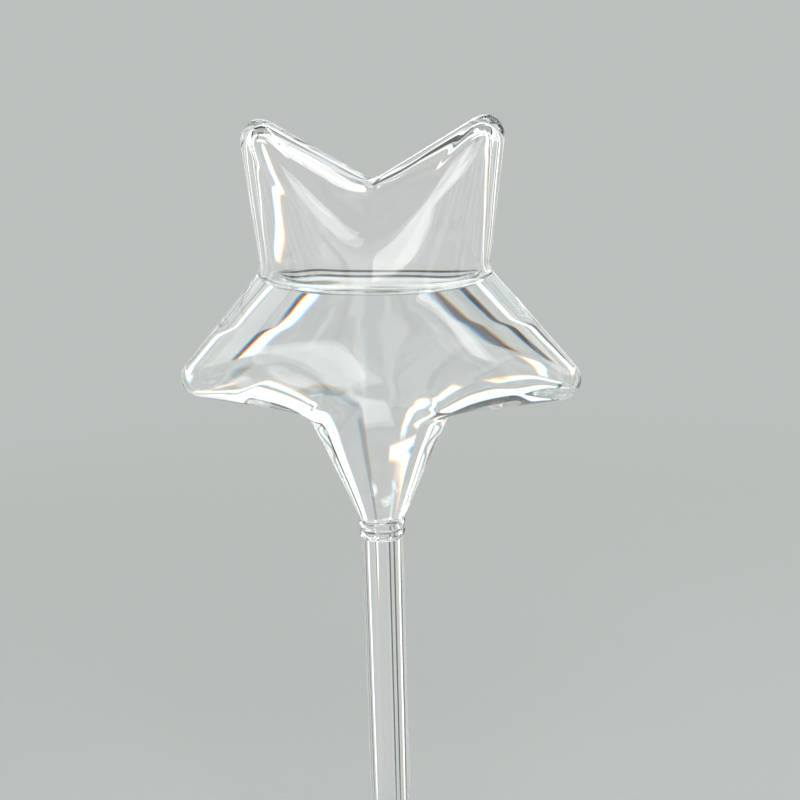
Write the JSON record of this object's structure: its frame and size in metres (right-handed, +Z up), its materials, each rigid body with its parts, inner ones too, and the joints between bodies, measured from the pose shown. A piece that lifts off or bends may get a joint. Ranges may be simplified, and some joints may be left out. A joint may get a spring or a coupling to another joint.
{
  "type": "plant waterer",
  "caption": "Clear glass star bulb on a straight glass stem, filled with water and pushed into soil upside down so that a pot plant waters itself.",
  "frame": {"origin": "centre of the stem's open lower end, the end that goes into the soil", "axes": "+Z up along the stem, +X along the star's width, -Y out of the star's front face"},
  "size_m": [0.1072, 0.041, 0.2358],
  "materials": {
    "clear_glass": "clear, glossy, blown",
    "water": "clear water"
  },
  "bodies": {
    "root": {"star_bulb": "clear_glass", "neck_weld_collar": "clear_glass", "stem_tube": "clear_glass", "water_fill": "water"}
  },
  "joints": []
}
